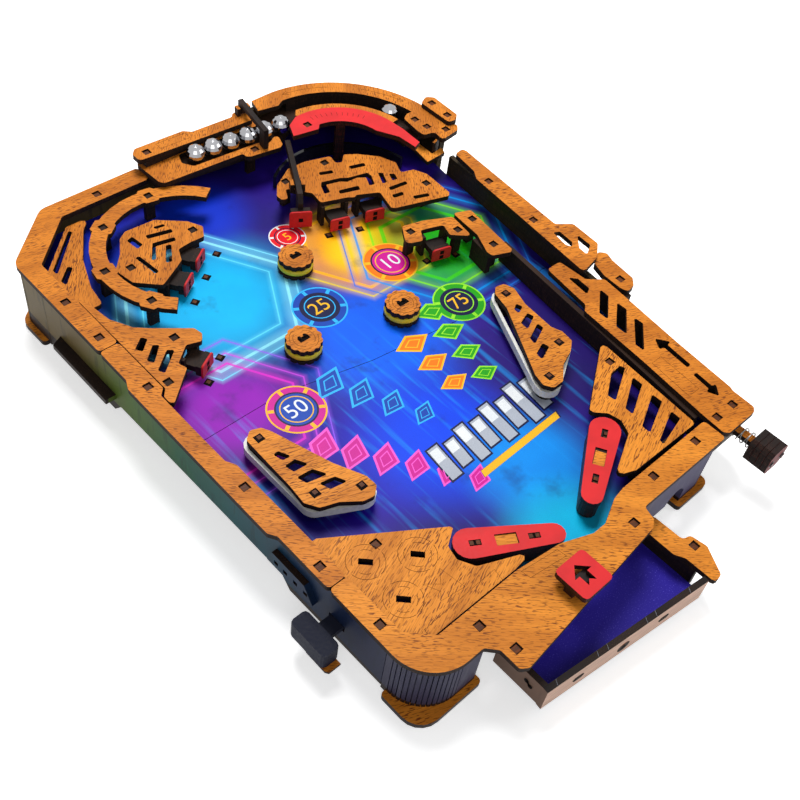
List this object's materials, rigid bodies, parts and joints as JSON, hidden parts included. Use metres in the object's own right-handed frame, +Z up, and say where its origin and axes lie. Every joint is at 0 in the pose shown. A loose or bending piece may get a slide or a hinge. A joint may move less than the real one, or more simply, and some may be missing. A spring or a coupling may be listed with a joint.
{
  "type": "pinball_game",
  "caption": "Tabletop wooden pinball game of laser-cut plywood with flippers, side buttons, sprung plunger, swinging targets, bonus ball tray and return rail",
  "frame": {"origin": "Centre of the bounding box on the ground plane; the feet stand on z = 0.", "axes": "+X is the player's right, +Y points from the player to the back of the cabinet, +Z is up."},
  "size_m": [0.2802, 0.376, 0.0619],
  "materials": {
    "beech_ply": "laser-cut plywood, satin",
    "black_gloss": "glossy black",
    "printed_side": "printed plywood, matt",
    "steel": "polished steel",
    "charred_edge": "red painted plywood, matt",
    "brown_panel": "dark brown plywood, matt",
    "printed_wall": "printed plywood, matt",
    "red_lacquer": "red painted plywood, matt",
    "printed_field": "printed plywood, satin",
    "rubber_band": "white rubber, matt"
  },
  "bodies": {
    "cabinet": {"apron_left": "beech_ply", "apron_right": "beech_ply", "arch_wall": "black_gloss", "back_wall": "printed_side", "ball_1": "steel", "ball_2": "steel", "ball_3": "steel", "ball_4": "steel", "ball_5": "steel", "ball_6": "steel", "ball_7": "steel", "ball_tray": "brown_panel", "corner_infill": "beech_ply", "corner_wall_front_left": "printed_wall", "corner_wall_rear_right": "brown_panel", "frame_front": "beech_ply", "frame_left": "beech_ply", "frame_rear": "beech_ply", "front_wall": "printed_wall", "guide_plate_inner": "beech_ply", "guide_plate_outer": "beech_ply", "island_plate": "beech_ply", "lane_cover": "beech_ply", "lane_outer_wall": "brown_panel", "obstacle_left": "beech_ply", "obstacle_rear": "beech_ply", "obstacle_right": "beech_ply", "orbit_inner_plate": "beech_ply", "orbit_ring": "beech_ply", "playfield_front": "printed_field", "playfield_rear": "printed_field", "rail_red_plate": "red_lacquer", "return_rail": "charred_edge", "right_rear_plate": "beech_ply", "side_wall_left": "printed_side", "side_wall_right": "brown_panel", "sling_left": "beech_ply", "sling_left_band": "rubber_band", "sling_right": "beech_ply", "sling_right_band": "rubber_band", "tray_end_plate": "beech_ply", "tray_low_plate": "beech_ply", "tray_top_plate": "beech_ply", "wedge_plate": "beech_ply", "plunger_spring": "steel"},
    "ball_gate_body": {"ball_gate": "charred_edge"},
    "bonus_lever_body": {"bonus_lever": "charred_edge"},
    "button_left_body": {"button_left": "charred_edge"},
    "button_right_body": {"button_right": "charred_edge"},
    "flipper_left_body": {"flipper_left": "red_lacquer"},
    "flipper_right_body": {"flipper_right": "red_lacquer"},
    "plunger_body": {"plunger": "beech_ply"},
    "reset_button_body": {"reset_button": "red_lacquer"},
    "target_island_left_body": {"target_island_left": "red_lacquer"},
    "target_island_right_body": {"target_island_right": "red_lacquer"},
    "target_left_front_body": {"target_left_front": "red_lacquer"},
    "target_left_rear_body": {"target_left_rear": "red_lacquer"},
    "target_right_body": {"target_right": "red_lacquer"},
    "target_wedge_body": {"target_wedge": "red_lacquer"}
  },
  "joints": [
    {"name": "button_left_slide", "type": "slide", "parent": "cabinet", "child": "button_left_body", "axis": [1, 0, 0], "range_m": [0, 0.0042], "stiffness_N_per_m": 30},
    {"name": "button_right_slide", "type": "slide", "parent": "cabinet", "child": "button_right_body", "axis": [-1, 0, 0], "range_m": [0, 0.0042], "stiffness_N_per_m": 30},
    {"name": "flipper_left_hinge", "type": "hinge", "parent": "cabinet", "child": "flipper_left_body", "pos_m": [-0.06183, -0.10786, 0.02187], "axis": [0, -0.0209, 0.9998], "range_deg": [0, 45.5]},
    {"name": "flipper_right_hinge", "type": "hinge", "parent": "cabinet", "child": "flipper_right_body", "pos_m": [0.03497, -0.10456, 0.02194], "axis": [0, 0.0209, -0.9998], "range_deg": [0, 45.5]},
    {"name": "plunger_slide", "type": "slide", "parent": "cabinet", "child": "plunger_body", "axis": [0, -0.9998, -0.0209], "range_m": [0, 0.02], "stiffness_N_per_m": 40, "deforming": ["plunger_spring"]},
    {"name": "reset_slide", "type": "slide", "parent": "cabinet", "child": "reset_button_body", "axis": [0, 0.9998, 0.0209], "range_m": [0, 0.008], "stiffness_N_per_m": 20},
    {"name": "target_island_left_hinge", "type": "hinge", "parent": "cabinet", "child": "target_island_left_body", "pos_m": [0.03915, 0.09789, 0.03298], "axis": [0.9511, -0.3089, -0.0065], "range_deg": [0, 12]},
    {"name": "target_island_right_hinge", "type": "hinge", "parent": "cabinet", "child": "target_island_right_body", "pos_m": [0.06015, 0.09212, 0.03286], "axis": [0.9511, -0.3089, -0.0065], "range_deg": [0, 12]},
    {"name": "target_left_front_hinge", "type": "hinge", "parent": "cabinet", "child": "target_left_front_body", "pos_m": [-0.06418, 0.10738, 0.03318], "axis": [0.8387, 0.5445, 0.0114], "range_deg": [0, 12]},
    {"name": "target_left_rear_hinge", "type": "hinge", "parent": "cabinet", "child": "target_left_rear_body", "pos_m": [-0.04858, 0.11877, 0.03342], "axis": [0.8387, 0.5445, 0.0114], "range_deg": [0, 12]},
    {"name": "target_right_hinge", "type": "hinge", "parent": "cabinet", "child": "target_right_body", "pos_m": [0.06745, 0.04621, 0.0319], "axis": [0.9659, -0.2588, -0.0054], "range_deg": [0, 12]},
    {"name": "target_wedge_hinge", "type": "hinge", "parent": "cabinet", "child": "target_wedge_body", "pos_m": [-0.08958, 0.05693, 0.03212], "axis": [0.8829, 0.4694, 0.0098], "range_deg": [0, 12]},
    {"name": "bonus_lever_hinge", "type": "hinge", "parent": "cabinet", "child": "bonus_lever_body", "pos_m": [0.02779, 0.11597, 0.04586], "axis": [0.8598, -0.5105, -0.0107], "range_deg": [0, 3]},
    {"name": "ball_gate_hinge", "type": "hinge", "parent": "cabinet", "child": "ball_gate_body", "pos_m": [0.03817, 0.17823, 0.05717], "axis": [-0.9847, 0.1743, 0.0037], "range_deg": [0, 35]}
  ],
  "couplings": [
    {"joint": "flipper_left_hinge", "follows": "button_left_slide", "rad_per_m": 187},
    {"joint": "flipper_right_hinge", "follows": "button_right_slide", "rad_per_m": 187}
  ]
}
